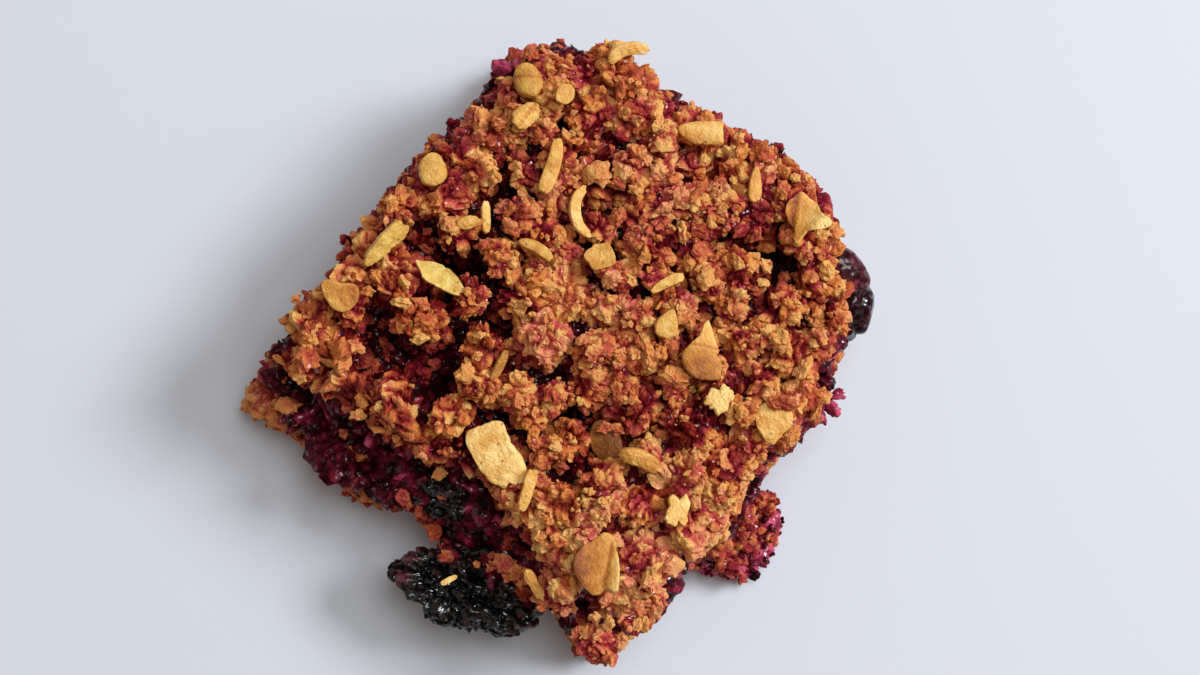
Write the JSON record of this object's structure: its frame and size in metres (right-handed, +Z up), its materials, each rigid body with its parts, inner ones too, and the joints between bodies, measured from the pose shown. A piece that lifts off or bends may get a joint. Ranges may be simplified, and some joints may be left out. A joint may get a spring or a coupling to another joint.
{
  "type": "berry crumble square",
  "caption": "Cut square of berry crumble: a baked crumb crust, a layer of set dark berry filling and a heap of crumble with nut flakes on top.",
  "frame": {"origin": "middle of the square's flat underside", "axes": "+Z up through the layers, -Y towards the front, where the filling shows, X across the square"},
  "size_m": [0.0755, 0.0823, 0.0272],
  "materials": {
    "crust": "baked golden-brown crumb, rough, with sugary grains",
    "filling": "set berry filling, dark crimson, wet and glossy",
    "crumble": "baked crumble, golden on its edges and red-brown where juice has soaked in",
    "berry": "berry shrunk and blackened by baking, wrinkled and glossy",
    "nut": "toasted nut, smooth and dull, golden",
    "lump": "crust and berry filling pressed together"
  },
  "bodies": {
    "root": {"berry_back_right": "berry", "berry_front": "berry", "berry_sunk": "berry", "crumble": "crumble", "crust": "crust", "filling": "filling", "flake_back": "nut", "flake_back_left": "nut", "flake_big": "nut", "flake_curl": "nut", "flake_half_sunk": "nut", "flake_hook": "nut", "flake_leaf": "nut", "flake_left_back": "nut", "flake_left_edge": "nut", "flake_left_round": "nut", "flake_long": "nut", "flake_low_tear": "nut", "flake_right": "nut", "flake_shell": "nut", "flake_stick": "nut", "flake_tear": "nut", "flake_upright": "nut", "side_lump": "lump"}
  },
  "joints": []
}
